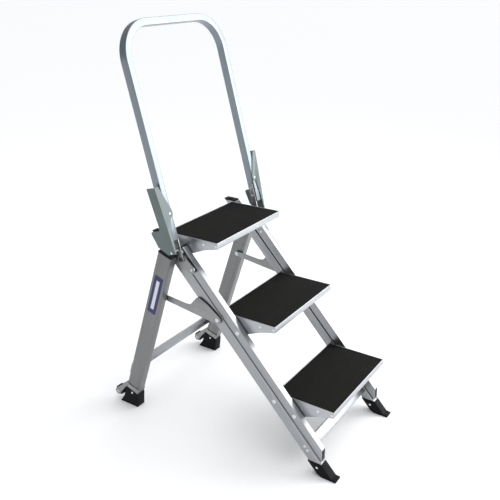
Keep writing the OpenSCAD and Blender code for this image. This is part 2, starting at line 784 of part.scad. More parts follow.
// The hoop as a solid bar of the given section, centred on the tube's line.
module hoop_bar(w, d, low) {
    mid_r = hoop_r - hoop_tube_w / 2;
    mid_x = hoop_x - hoop_tube_w / 2;
    corner_z = hoop_h - hoop_r;
    corner_x = hoop_x - hoop_r;
    translate([0, hoop_mid_y, 0]) {
        for (side = both) on_side(side) {
            translate([mid_x - w / 2, -d / 2, low]) cube([w, d, corner_z - low]);
            translate([corner_x, 0, corner_z]) rotate([90, 0, 0])
                rotate_extrude(angle = 90, $fn = 96)
                    translate([mid_r - w / 2, -d / 2]) square([w, d]);
        }
        translate([-corner_x, -d / 2, corner_z + mid_r - w / 2]) cube([2 * corner_x, d, w]);
    }
}

strap_rivet_z = [90, 118];
spacer_z = 33;

module handrail_hoop() {
    color([0.70, 0.74, 0.77]) placed() in_handrail() difference() {
        hoop_bar(hoop_tube_w, hoop_tube_d, hoop_low);
        hoop_bar(hoop_tube_w - 2 * hoop_wall, hoop_tube_d - 2 * hoop_wall, hoop_low - 1);
        for (side = both, z = strap_rivet_z) on_side(side)
            rod([hoop_mid_y, z], strap_x - 1, hoop_in_x + hoop_wall + 1, rivet_r + pin_clear);
        for (side = both) on_side(side)
            translate([lobe_x, hoop_front - 1, lobe_z]) rotate([-90, 0, 0])
                cylinder(h = hoop_wall + 2, r = rivet_r + pin_clear);
    }
}

// The bracket is an angle: a side plate that flares outwards going up, and a
// front flange with a round lobe riveted to the tube.
bracket_sheet = 2.5;
bracket_x = leg_out + cap_over + slide_gap;
bracket_low = 28;
bracket_top = 245;
bracket_flare = 4.7;
side_plate_w = 34;
plate_front = hoop_front - bracket_sheet;
plate_back = plate_front + side_plate_w;
lobe_x = hoop_x - hoop_tube_w / 2;
lobe_z = 153;
lobe_r = hoop_tube_w / 2 + 1;
hook_tip = [53, 100];
hook_r = 6.5;

module bracket_side_plate() {
    translate([bracket_x, 0, bracket_low]) rotate([0, bracket_flare, 0])
        translate([0, 0, -bracket_low]) slab(0, bracket_sheet) {
            polygon([[plate_front, bracket_top], [plate_back, bracket_top],
                [plate_back, hook_tip[1] + 14], [plate_back + 7, hook_tip[1] + hook_r],
                hook_tip + [0, hook_r], hook_tip + [hook_r, -2], [49, 54], [17, 26],
                [plate_front, bracket_low]]);
            translate(hook_tip) circle(r = hook_r);
        }
}

module bracket_flange() {
    flare_x = (bracket_top - bracket_low) * sin(bracket_flare);
    translate([0, plate_front + bracket_sheet, 0]) rotate([90, 0, 0])
        linear_extrude(height = bracket_sheet) {
            polygon([[bracket_x, bracket_low], [bracket_x + bracket_sheet, bracket_low],
                [bracket_x + flare_x + bracket_sheet, bracket_top - 1],
                [bracket_x + flare_x - 14, bracket_top - 1],
                [lobe_x - lobe_r, lobe_z + 8], [lobe_x - lobe_r, lobe_z],
                [lobe_x + 2, lobe_z - lobe_r + 0.2],
                [bracket_x - 5, lobe_z - 60]]);
            translate([lobe_x, lobe_z]) circle(r = lobe_r);
        }
}

module handrail_bracket(side) {
    color([0.36, 0.42, 0.40]) placed() in_handrail() on_side(side) difference() {
        union() {
            bracket_side_plate();
            bracket_flange();
        }
        translate([lobe_x, plate_front - 1, lobe_z]) rotate([-90, 0, 0])
            cylinder(h = bracket_sheet + 2, r = rivet_r + pin_clear);
        rod([hoop_mid_y, spacer_z], bracket_x - 1, bracket_x + 8, rivet_r + pin_clear);
    }
}

strap_eye_r = 10;
strap_half_w = 8.5;
strap_top = 132;

// A flat strap that hangs the hoop and its bracket on the pivot bolt.
module handrail_strap(side) {
    color([0.60, 0.62, 0.63]) placed() in_handrail() on_side(side) difference() {
        slab(strap_x, strap_t) {
            circle(r = strap_eye_r);
            translate([-strap_half_w, 0]) square([2 * strap_half_w, strap_top]);
        }
        rod([0, 0], strap_x - 1, hoop_in_x + 1, main_pin_r + pin_clear);
        for (z = strap_rivet_z)
            rod([hoop_mid_y, z], strap_x - 1, hoop_in_x + 1, rivet_r + pin_clear);
        rod([hoop_mid_y, spacer_z], strap_x - 1, hoop_in_x + 1, rivet_r + pin_clear);
    }
}

module handrail_spacers() {
    color([0.60, 0.61, 0.62]) placed() in_handrail() for (side = both) on_side(side)
        washer([hoop_mid_y, spacer_z], hoop_in_x, bracket_x, rivet_r + pin_clear, 5);
}

// Rivets of the strap and the lobe, and the long bolt through each spacer.
module handrail_bolts() {
    spacer_head_x = bracket_x + bracket_sheet + 1;
    color([0.82, 0.82, 0.80]) placed() in_handrail() for (side = both) on_side(side) {
        for (z = strap_rivet_z) {
            rod([hoop_mid_y, z], strap_x - tiny, hoop_in_x + hoop_wall, rivet_r);
            translate([strap_x, 0, 0]) mirror([1, 0, 0])
                dome([hoop_mid_y, z], 0, rivet_head_r, rivet_head_t);
        }
        rod([hoop_mid_y, spacer_z], strap_x - tiny, spacer_head_x + tiny, rivet_r);
        dome([hoop_mid_y, spacer_z], spacer_head_x, rivet_head_r, rivet_head_t);
        translate([strap_x, 0, 0]) mirror([1, 0, 0])
            dome([hoop_mid_y, spacer_z], 0, rivet_head_r, rivet_head_t);
        translate([lobe_x, plate_front, lobe_z]) rotate([-90, 0, 0]) {
            cylinder(h = bracket_sheet + hoop_wall, r = rivet_r);
            rotate([0, 90, 0]) dome([0, 0], 0, rivet_head_r, rivet_head_t);
        }
    }
}

lower_rail(left_side);  // lower_rail_left
lower_rail(right_side);  // lower_rail_right
lower_rail_plugs();
front_foot(left_side);  // front_foot_left
front_foot(right_side);  // front_foot_right
front_foot_screws();
front_cross_bar();
front_cross_bar_rivets();
rear_pivot_bolts();
rear_pivot_washers();
upper_rail(left_side);  // upper_rail_left
upper_rail(right_side);  // upper_rail_right
upper_rail_plugs();
front_pivot_bolts();
front_pivot_washers();
hinge_plate(left_side);  // hinge_plate_left
hinge_plate(right_side);  // hinge_plate_right
hinge_plate_spacers();
hinge_plate_rivets();
handrail_pivot_bolts();
leg_pivot_bolts();
leg_pivot_washers();
tread(0);  // tread_bottom
tread(1);  // tread_middle
tread(2);  // tread_top
mat(0);  // mat_bottom
mat(1);  // mat_middle
mat(2);  // mat_top
tread_rivets(0);  // tread_rivets_bottom
tread_rivets(1);  // tread_rivets_middle
tread_rivets(2);  // tread_rivets_top
rear_leg(left_side);  // rear_leg_left
rear_leg(right_side);  // rear_leg_right
leg_cap(left_side);  // leg_cap_left
leg_cap(right_side);  // leg_cap_right
rear_foot(left_side);  // rear_foot_left
rear_foot(right_side);  // rear_foot_right
rear_foot_rivets();
rear_cross_brace();
rear_brace_rivets();
label_plate();
wheel_bracket(left_side);  // wheel_bracket_left
wheel_bracket(right_side);  // wheel_bracket_right
wheel_axles();
wheel_hub(left_side);  // wheel_hub_left
wheel_tyre(left_side);  // wheel_tyre_left
wheel_hub(right_side);  // wheel_hub_right
wheel_tyre(right_side);  // wheel_tyre_right
link(left_side);  // link_left
link(right_side);  // link_right
link_end_pins();
handrail_hoop();
handrail_bracket(left_side);  // handrail_bracket_left
handrail_bracket(right_side);  // handrail_bracket_right
handrail_strap(left_side);  // handrail_strap_left
handrail_strap(right_side);  // handrail_strap_right
handrail_spacers();
handrail_bolts();
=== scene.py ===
"""Dresses a folding three-step stool: rails, rubber-topped treads, hinged rear legs and a handrail hoop.

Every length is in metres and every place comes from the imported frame. Each sub-assembly is a class
that shapes its own pieces and hands them their finishes.
"""

import logging
import math
from dataclasses import dataclass, field
from enum import Enum

import bmesh
import bpy
from mathutils import Euler, Matrix, Vector


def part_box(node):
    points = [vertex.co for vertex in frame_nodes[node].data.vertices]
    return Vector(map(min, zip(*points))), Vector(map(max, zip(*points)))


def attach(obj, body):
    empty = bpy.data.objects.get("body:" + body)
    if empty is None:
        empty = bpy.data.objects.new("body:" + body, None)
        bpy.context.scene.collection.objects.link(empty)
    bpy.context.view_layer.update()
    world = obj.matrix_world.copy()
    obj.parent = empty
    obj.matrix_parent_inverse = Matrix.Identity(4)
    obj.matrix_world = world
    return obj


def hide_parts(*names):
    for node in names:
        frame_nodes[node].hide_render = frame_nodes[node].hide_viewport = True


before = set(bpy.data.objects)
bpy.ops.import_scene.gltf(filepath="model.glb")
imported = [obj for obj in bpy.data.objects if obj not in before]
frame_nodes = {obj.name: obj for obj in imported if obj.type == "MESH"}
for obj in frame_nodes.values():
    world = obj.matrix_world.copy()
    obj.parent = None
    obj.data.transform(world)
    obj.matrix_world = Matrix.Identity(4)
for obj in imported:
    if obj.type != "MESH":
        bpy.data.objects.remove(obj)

LOG = logging.getLogger("step_stool")
RAIL_ANGLE = math.radians(47.876)
LEG_LEAN = math.radians(19.4)
HANDRAIL_LEAN = math.radians(14.0)
WELD_DISTANCE = 1e-6
FLAT_ANGLE = math.radians(0.5)
SHARP_ANGLE = math.radians(35)


class Grain(Enum):
    """The way a metal piece was drawn or rolled, as a turn about X that lays its lines along Y."""

    RAIL = -RAIL_ANGLE
    LEG = -(math.pi / 2 + LEG_LEAN)
    HANDRAIL = -(math.pi / 2 - HANDRAIL_LEAN)
    LEVEL = 0.0


class Side(Enum):
    """Which side of the stool a piece is on, as the sign of its X."""

    LEFT = -1
    RIGHT = 1

    @property
    def label(self) -> str:
        """The side's name as the frame's nodes spell it."""
        return self.name.lower()


# ---- Node helpers ---------------------------------------------------------------


class Wiring:
    """A thin layer over a node tree that adds and links nodes in one step."""

    MIX_FACTOR, MIX_A, MIX_B, MIX_RESULT = 0, 6, 7, 2

    def __init__(self, tree: bpy.types.NodeTree) -> None:
        """Keeps the tree that nodes are added to."""
        self.tree = tree

    def add(self, kind: str, inputs: dict | None = None, **settings: object) -> bpy.types.Node:
        """Adds a node.

        Args:
            kind: the node's bl_idname.
            inputs: socket name or index to a value, or to an output socket to link from.
            settings: attributes of the node itself.

        Returns:
            The new node.
        """
        node = self.tree.nodes.new(kind)
        for name, value in settings.items():
            setattr(node, name, value)
        for key, value in (inputs or {}).items():
            if isinstance(value, bpy.types.NodeSocket):
                self.tree.links.new(value, node.inputs[key])
            else:
                node.inputs[key].default_value = value
        return node

    def math(self, operation: str, a: object, b: object = 0.0,
             clamp: bool = False) -> bpy.types.NodeSocket:
        """Returns the output of a Math node on a and b."""
        kind = "ShaderNodeMath"
        return self.add(kind, {0: a, 1: b}, operation=operation, use_clamp=clamp).outputs[0]

    def vector(self, operation: str, a: object, b: object = (0.0, 0.0, 0.0)) -> bpy.types.NodeSocket:
        """Returns the vector output of a Vector Math node on a and b."""
        return self.add("ShaderNodeVectorMath", {0: a, 1: b}, operation=operation).outputs[0]

    def remap(self, value: bpy.types.NodeSocket, low: float, high: float,
              to_low: float = 0.0, to_high: float = 1.0) -> bpy.types.NodeSocket:
        """Returns value moved from the range low to high to the range to_low to to_high."""
        inputs = {"Value": value, "From Min": low, "From Max": high, "To Min": to_low, "To Max": to_high}
        return self.add("ShaderNodeMapRange", inputs, clamp=True).outputs["Result"]

    def mix(self, factor: object, a: object, b: object, blend: str = "MIX") -> bpy.types.NodeSocket:
        """Returns the colour mixed from a to b by factor."""
        node = self.add("ShaderNodeMix", data_type="RGBA", blend_type=blend)
        for index, value in ((self.MIX_FACTOR, factor), (self.MIX_A, a), (self.MIX_B, b)):
            if isinstance(value, bpy.types.NodeSocket):
                self.tree.links.new(value, node.inputs[index])
            else:
                node.inputs[index].default_value = value
        return node.outputs[self.MIX_RESULT]

    def link(self, output: bpy.types.NodeSocket, socket: bpy.types.NodeSocket) -> None:
        """Links an output to a socket."""
        self.tree.links.new(output, socket)


def new_group(name: str, inputs: dict[str, tuple[str, object]], outputs: dict[str, str]) -> tuple:
    """Starts a shader node group with named sockets.

    Args:
        name: the group's name.
        inputs: socket name to its type and default value.
        outputs: socket name to its type.

    Returns:
        The group, its wiring, its Group Input node and its Group Output node.
    """
    group = bpy.data.node_groups.new(name, "ShaderNodeTree")
    for label, (kind, default) in inputs.items():
        socket = group.interface.new_socket(label, in_out="INPUT", socket_type=kind)
        if default is not None:
            socket.default_value = default
    for label, kind in outputs.items():
        group.interface.new_socket(label, in_out="OUTPUT", socket_type=kind)
    wiring = Wiring(group)
    return group, wiring, wiring.add("NodeGroupInput"), wiring.add("NodeGroupOutput")


FLOAT, VECTOR = "NodeSocketFloat", "NodeSocketVector"


class SharedEffects:
    """The shader node groups that more than one finish uses, each built once."""

    NOISE_SPAN = (0.3, 0.7)
    SCRATCH_WIDTH = 0.012
    SCRATCH_BEND = (0.06, 0.06, 0.06)
    PATCH_FLOOR = 0.72
    PATCH_GAIN = 9.0
    DUST_PATCH_SPAN = (0.35, 0.75)
    DUST_FACING_SPAN = (0.2, 0.95)

    def __init__(self) -> None:
        """Builds the groups."""
        self.drawn_lines = self._drawn_lines()
        self.mottle = self._mottle()
        self.scuffs = self._scuffs()
        self.settled_dust = self._settled_dust()

    def _drawn_lines(self) -> bpy.types.NodeTree:
        """Returns the group of fine lines that an extrusion die or a rolling mill leaves."""
        group, w, given, out = new_group(
            "drawn_lines",
            {"Vector": (VECTOR, None), "Along": (FLOAT, 5.0), "Across": (FLOAT, 700.0),
             "Band Across": (FLOAT, 60.0)},
            {"Lines": FLOAT, "Bands": FLOAT})
        for across, detail, label in (("Across", 3.0, "Lines"), ("Band Across", 2.0, "Bands")):
            scale = w.add("ShaderNodeCombineXYZ", {
                "X": given.outputs[across], "Y": given.outputs["Along"], "Z": given.outputs[across]})
            stretched = w.vector("MULTIPLY", given.outputs["Vector"], scale.outputs[0])
            noise = w.add("ShaderNodeTexNoise", {"Vector": stretched, "Scale": 1.0, "Detail": detail})
            w.link(w.remap(noise.outputs["Fac"], *self.NOISE_SPAN), out.inputs[label])
        return group

    def _mottle(self) -> bpy.types.NodeTree:
        """Returns the group of soft, cloudy variation over a surface."""
        group, w, given, out = new_group(
            "mottle", {"Vector": (VECTOR, None), "Scale": (FLOAT, 12.0), "Amount": (FLOAT, 0.1)},
            {"Factor": FLOAT, "Cloud": FLOAT})
        noise = w.add("ShaderNodeTexNoise", {
            "Vector": given.outputs["Vector"], "Scale": given.outputs["Scale"],
            "Detail": 5.0, "Roughness": 0.6})
        cloud = w.remap(noise.outputs["Fac"], *self.NOISE_SPAN)
        centred = w.math("SUBTRACT", cloud, 0.5)
        swing = w.math("MULTIPLY", centred, given.outputs["Amount"])
        w.link(w.math("ADD", swing, 1.0), out.inputs["Factor"])
        w.link(cloud, out.inputs["Cloud"])
        return group

    def _scuffs(self) -> bpy.types.NodeTree:
        """Returns the group of short thin scratches, as a mask."""
        group, w, given, out = new_group(
            "scuffs", {"Vector": (VECTOR, None), "Scale": (FLOAT, 30.0), "Density": (FLOAT, 0.2)},
            {"Mask": FLOAT})
        place = given.outputs["Vector"]
        bend = w.add("ShaderNodeTexNoise", {"Vector": place, "Scale": 9.0, "Detail": 2.0})
        shifted = w.vector("ADD", place, w.vector("MULTIPLY", bend.outputs["Color"], self.SCRATCH_BEND))
        cells = w.add("ShaderNodeTexVoronoi", {"Vector": shifted, "Scale": given.outputs["Scale"]},
                      feature="DISTANCE_TO_EDGE")
        thin = w.remap(cells.outputs["Distance"], 0.0, self.SCRATCH_WIDTH, 1.0, 0.0)
        patch = w.add("ShaderNodeTexNoise", {"Vector": place, "Scale": 14.0, "Detail": 3.0})
        floor = w.math("SUBTRACT", self.PATCH_FLOOR, w.math("MULTIPLY", given.outputs["Density"], 0.4))
        above = w.math("SUBTRACT", patch.outputs["Fac"], floor)
        steep = w.math("MULTIPLY", above, self.PATCH_GAIN, clamp=True)
        w.link(w.math("MULTIPLY", thin, steep), out.inputs["Mask"])
        return group

    def _settled_dust(self) -> bpy.types.NodeTree:
        """Returns the group of pale dust that lies on faces that look up."""
        group, w, given, out = new_group(
            "settled_dust", {"Vector": (VECTOR, None), "Amount": (FLOAT, 0.2)}, {"Mask": FLOAT})
        up = w.add("ShaderNodeSeparateXYZ", {0: w.add("ShaderNodeNewGeometry").outputs["Normal"]})
        noise = w.add("ShaderNodeTexNoise", {
            "Vector": given.outputs["Vector"], "Scale": 35.0, "Detail": 6.0, "Roughness": 0.7})
        patch = w.remap(noise.outputs["Fac"], *self.DUST_PATCH_SPAN)
        facing = w.remap(up.outputs["Z"], *self.DUST_FACING_SPAN)
        lying = w.math("MULTIPLY", patch, facing)
        w.link(w.math("MULTIPLY", lying, given.outputs["Amount"]), out.inputs["Mask"])
        return group


# ---- Finishes ---------------------------------------------------------------------


@dataclass(frozen=True)
class Finish:
    """A surface finish and everything its material needs.

    Args:
        name: the material's name.
        slot: the record's material slot that it stands for; not used.
        colour: the base colour, linear.
        roughness: lowest and highest roughness.
        metallic: 1 for bare metal.
        lines: strength of drawn lines, 0 for none.
        mottle: strength and scale of cloudy variation.
        scuffs: density and brightness of fine scratches.
        dust: how much pale dust lies on it.
        pebble: depth in metres and scale of a fine moulded bump.
        coat: clear coat weight.
        specular: how strongly it mirrors when it isn't metal.
    """

    name: str
    slot: str
    colour: tuple[float, float, float]
    roughness: tuple[float, float]
    metallic: float = 0.0
    lines: float = 0.0
    mottle: tuple[float, float] = (0.08, 12.0)
    scuffs: tuple[float, float] = (0.0, 0.0)
    dust: float = 0.0
    pebble: tuple[float, float] = (0.0, 900.0)
    coat: float = 0.0
    specular: float = 0.5


RAIL_ALUMINIUM = Finish("rail_aluminium", "rail_aluminium", (0.36, 0.368, 0.382), (0.26, 0.42), 1.0,
                        lines=0.5, mottle=(0.10, 9.0), scuffs=(0.25, 0.22), dust=0.05)
TREAD_ALUMINIUM = Finish("tread_aluminium", "tread_aluminium", (0.47, 0.485, 0.51), (0.28, 0.45), 1.0,
                         lines=0.4, mottle=(0.12, 14.0), scuffs=(0.35, 0.25), dust=0.05)
LEG_ALUMINIUM = Finish("leg_aluminium", "leg_aluminium", (0.235, 0.238, 0.24), (0.36, 0.52), 1.0,
                       lines=0.6, mottle=(0.14, 11.0), scuffs=(0.3, 0.2), dust=0.05)
HANDRAIL_ALUMINIUM = Finish("handrail_aluminium", "handrail_aluminium", (0.235, 0.265, 0.295),
                            (0.24, 0.36), 1.0, lines=0.3, mottle=(0.07, 8.0), scuffs=(0.2, 0.15))
BRACKET_PAINT = Finish("bracket_paint", "bracket_steel", (0.115, 0.148, 0.148), (0.34, 0.5), 0.25,
                       mottle=(0.22, 16.0), scuffs=(0.35, 0.30), pebble=(0.00003, 1300.0), coat=0.15)
ZINC_STEEL = Finish("zinc_steel", "zinc_steel", (0.30, 0.305, 0.305), (0.3, 0.48), 1.0,
                    lines=0.2, mottle=(0.25, 40.0), scuffs=(0.3, 0.2))
BLACK_STEEL = Finish("black_steel", "black_steel", (0.018, 0.018, 0.02), (0.3, 0.45), 0.0,
                     mottle=(0.2, 30.0), scuffs=(0.3, 0.12), pebble=(0.00002, 1500.0), coat=0.2)
BOLT_STEEL = Finish("bolt_steel", "bolt_steel", (0.52, 0.53, 0.54), (0.22, 0.34), 1.0,
                    lines=0.2, mottle=(0.15, 90.0))
WASHER_NYLON = Finish("washer_nylon", "washer_plastic", (0.66, 0.64, 0.58), (0.42, 0.55), 0.0,
                      mottle=(0.06, 60.0))
RIVET_ALUMINIUM = Finish("rivet_aluminium", "rivet_aluminium", (0.74, 0.74, 0.73), (0.2, 0.32), 1.0,
                         mottle=(0.12, 120.0))
FOOT_RUBBER = Finish("foot_rubber", "foot_rubber", (0.010, 0.010, 0.011), (0.42, 0.68), 0.0,
                     mottle=(0.35, 26.0), scuffs=(0.35, 0.05), dust=0.03, pebble=(0.00005, 900.0),
                     specular=0.06)
# The faint olive tint in this colour is a painted sheen, spread evenly over all three mats.
MAT_RUBBER = Finish("mat_rubber", "mat_rubber", (0.0075, 0.0075, 0.0068), (0.46, 0.66), 0.0,
                    mottle=(0.35, 10.0), scuffs=(0.25, 0.03), dust=0.012, pebble=(0.00004, 1100.0),
                    specular=0.055)
CAP_PLASTIC = Finish("cap_plastic", "cap_plastic", (0.012, 0.012, 0.013), (0.36, 0.5), 0.0,
                     mottle=(0.25, 30.0), scuffs=(0.2, 0.05), dust=0.02, pebble=(0.00003, 1400.0),
                     specular=0.08)
TYRE_RUBBER = Finish("tyre_rubber", "wheel_tyre", (0.014, 0.014, 0.014), (0.5, 0.7), 0.0,
                     mottle=(0.3, 60.0), dust=0.04, pebble=(0.00004, 1200.0), specular=0.06)
WHEEL_PLASTIC = Finish("wheel_plastic", "wheel_plastic", (0.035, 0.036, 0.037), (0.38, 0.5), 0.0,
                       mottle=(0.12, 50.0), dust=0.03, pebble=(0.00002, 1500.0), specular=0.12)


class MaterialShop:
    """Makes each finish's material, one for each way the metal was drawn."""

    LINE_ALONG = 4.0
    LINE_ACROSS = 750.0
    BAND_ACROSS = 70.0
    LINE_DEPTH = 0.00002
    SCUFF_SCALE = 34.0
    DUST_COLOUR = (0.30, 0.28, 0.25, 1.0)
    SMOOTHEST = 0.12
    COAT_ROUGHNESS = 0.25

    def __init__(self, effects: SharedEffects) -> None:
        """Keeps the shared groups and starts with no materials."""
        self.effects = effects
        self.made: dict[tuple[str, Grain], bpy.types.Material] = {}

    def get(self, finish: Finish, grain: Grain = Grain.LEVEL) -> bpy.types.Material:
        """Returns the material of a finish with its lines along the grain."""
        key = (finish.name, grain)
        if key not in self.made:
            self.made[key] = self._make(finish, grain)
        return self.made[key]

    def place_group(self, w: Wiring, group: bpy.types.NodeTree, inputs: dict) -> bpy.types.Node:
        """Places a shared group in a material."""
        node = w.add("ShaderNodeGroup")
        node.node_tree = group
        for key, value in inputs.items():
            if isinstance(value, bpy.types.NodeSocket):
                w.link(value, node.inputs[key])
            else:
                node.inputs[key].default_value = value
        return node

    def start(self, name: str, grain: Grain) -> tuple:
        """Starts a material.

        Args:
            name: the material's name.
            grain: the way that its lines run.

        Returns:
            The material, its wiring, its Principled node, and its turned Object coordinates.
        """
        material = bpy.data.materials.new(name)
        material.use_nodes = True
        w = Wiring(material.node_tree)
        shader = material.node_tree.nodes["Principled BSDF"]
        place = w.add("ShaderNodeTexCoord").outputs["Object"]
        turned = w.add("ShaderNodeMapping", {"Vector": place, "Rotation": (grain.value, 0.0, 0.0)})
        return material, w, shader, turned.outputs[0]

    def _make(self, finish: Finish, grain: Grain) -> bpy.types.Material:
        """Wires one finish's material."""
        suffix = "" if grain is Grain.LEVEL else "_" + grain.name.lower()
        material, w, shader, place = self.start(finish.name + suffix, grain)
        effects = self.effects
        mottle = self.place_group(w, effects.mottle, {
            "Vector": place, "Scale": finish.mottle[1], "Amount": finish.mottle[0]})
        colour = w.vector("MULTIPLY", (*finish.colour,), self.spread(w, mottle.outputs["Factor"]))
        rough = w.remap(mottle.outputs["Cloud"], 0.0, 1.0, *finish.roughness)
        height = None
        if finish.lines:
            lines = self.place_group(w, effects.drawn_lines, {
                "Vector": place, "Along": self.LINE_ALONG, "Across": self.LINE_ACROSS,
                "Band Across": self.BAND_ACROSS})
            fine, broad = lines.outputs["Lines"], lines.outputs["Bands"]
            tone = w.remap(fine, 0.0, 1.0, 1.0 - 0.16 * finish.lines, 1.0 + 0.08 * finish.lines)
            band = w.remap(broad, 0.0, 1.0, 1.0 - 0.10 * finish.lines, 1.0 + 0.06 * finish.lines)
            colour = w.vector("MULTIPLY", colour, self.spread(w, w.math("MULTIPLY", tone, band)))
            centred = w.math("SUBTRACT", fine, 0.5)
            rough = w.math("ADD", rough, w.math("MULTIPLY", centred, 0.12 * finish.lines))
            height = w.math("MULTIPLY", fine, self.LINE_DEPTH * finish.lines)
        if finish.scuffs[0]:
            mask = self.place_group(w, effects.scuffs, {
                "Vector": place, "Scale": self.SCUFF_SCALE, "Density": finish.scuffs[0]}).outputs["Mask"]
            pale = tuple(min(1.0, c + finish.scuffs[1]) for c in finish.colour)
            colour = w.mix(w.math("MULTIPLY", mask, 0.6), colour, (*pale, 1.0))
            rough = w.math("ADD", rough, w.math("MULTIPLY", mask, 0.08))
        if finish.dust:
            mask = self.place_group(w, effects.settled_dust, {
                "Vector": place, "Amount": finish.dust}).outputs["Mask"]
            colour = w.mix(mask, colour, self.DUST_COLOUR)
            rough = w.math("ADD", rough, w.math("MULTIPLY", mask, 0.5))
        if finish.pebble[0]:
            grit = w.add("ShaderNodeTexNoise", {
                "Vector": place, "Scale": finish.pebble[1], "Detail": 2.0})
            height = w.math("MULTIPLY", grit.outputs["Fac"], finish.pebble[0])
        w.link(colour, shader.inputs["Base Color"])
        w.link(w.math("MAXIMUM", rough, self.SMOOTHEST, clamp=True), shader.inputs["Roughness"])
        if height is not None:
            bump = w.add("ShaderNodeBump", {"Strength": 0.6, "Distance": 1.0, "Height": height})
            w.link(bump.outputs["Normal"], shader.inputs["Normal"])
        shader.inputs["Metallic"].default_value = finish.metallic
        shader.inputs["Coat Weight"].default_value = finish.coat
        shader.inputs["Coat Roughness"].default_value = self.COAT_ROUGHNESS
        shader.inputs["Specular IOR Level"].default_value = finish.specular
        return material

    @staticmethod
    def spread(w: Wiring, value: bpy.types.NodeSocket) -> bpy.types.NodeSocket:
        """Returns a value as all three parts of a vector."""
        return w.add("ShaderNodeCombineXYZ", {"X": value, "Y": value, "Z": value}).outputs[0]


# ---- Mesh helpers -------------------------------------------------------------------


def new_piece(name: str, mesh: bpy.types.Mesh) -> bpy.types.Object:
    """Links a mesh into the scene as a named object and returns it."""
    piece = bpy.data.objects.new(name, mesh)
    bpy.context.scene.collection.objects.link(piece)
    return piece


def paint(piece: bpy.types.Object, material: bpy.types.Material) -> None:
    """Gives a whole piece one material."""
    piece.data.materials.clear()
    piece.data.materials.append(material)


def smooth_by_angle(mesh: bpy.types.Mesh, degrees: float = 32.0) -> None:
    """Shades a mesh smooth except over edges sharper than an angle."""
    mesh.polygons.foreach_set("use_smooth", [True] * len(mesh.polygons))
    mesh.set_sharp_from_angle(angle=math.radians(degrees))


def bake(piece: bpy.types.Object) -> None:
    """Turns a piece's modifiers into plain mesh and removes them."""
    bpy.context.view_layer.update()
    graph = bpy.context.evaluated_depsgraph_get()
    mesh = bpy.data.meshes.new_from_object(piece.evaluated_get(graph), depsgraph=graph)
    piece.modifiers.clear()
    old = piece.data
    piece.data = mesh
    bpy.data.meshes.remove(old)


@dataclass(frozen=True)
class EdgeRound:
    """How a piece's edges are rounded.

    Args:
        width: the rounding's width.
        segments: faces across it.
        shortest: edges shorter than this stay sharp, so small holes keep their shape.
    """

    width: float = 0.0006
    segments: int = 2
    shortest: float = 0.006


def welded(node: str) -> bmesh.types.BMesh:
    """Returns a frame node's mesh as a new BMesh whose loose triangles are joined."""
    bm = bmesh.new()
    bm.from_mesh(frame_nodes[node].data)
    bmesh.ops.remove_doubles(bm, verts=bm.verts, dist=WELD_DISTANCE)
    return bm


def rounded_copy(node: str, name: str, rounding: EdgeRound) -> bpy.types.Object:
    """Copies a frame node's mesh and rounds its long edges.

    Args:
        node: the frame node that is copied.
        name: the new piece's name.
        rounding: how its edges are rounded.

    Returns:
        The piece, with its place in its mesh.
    """
    bm = welded(node)
    bmesh.ops.dissolve_limit(bm, angle_limit=FLAT_ANGLE, verts=bm.verts, edges=bm.edges)
    long_edges = [
        e for e in bm.edges
        if len(e.link_faces) == 2 and e.calc_face_angle(0.0) > SHARP_ANGLE
        and e.calc_length() > rounding.shortest]
    bmesh.ops.bevel(bm, geom=long_edges, offset=rounding.width, offset_type="OFFSET",
                    segments=rounding.segments, profile=0.5, affect="EDGES", clamp_overlap=True)
    mesh = bpy.data.meshes.new(name)
    bm.to_mesh(mesh)
    bm.free()
    smooth_by_angle(mesh)
    return new_piece(name, mesh)


def islands(node: str) -> list[tuple[Vector, Vector]]:
    """Finds the separate solids of a frame node.

    Args:
        node: the frame node.

    Returns:
        The lowest and highest corner of each solid, from the left to the right.
    """
    bm = welded(node)
    seen: set[bmesh.types.BMVert] = set()
    found = []
    for start in bm.verts:
        if start in seen:
            continue
        seen.add(start)
        stack, points = [start], []
        while stack:
            vert = stack.pop()
            points.append(vert.co.copy())
            for edge in vert.link_edges:
                other = edge.other_vert(vert)
                if other not in seen:
                    seen.add(other)
                    stack.append(other)
        low = Vector(min(p[k] for p in points) for k in range(3))
        high = Vector(max(p[k] for p in points) for k in range(3))
        found.append((low, high))
    bm.free()
    return sorted(found, key=lambda corners: (round(corners[0].x, 4), corners[0].z))


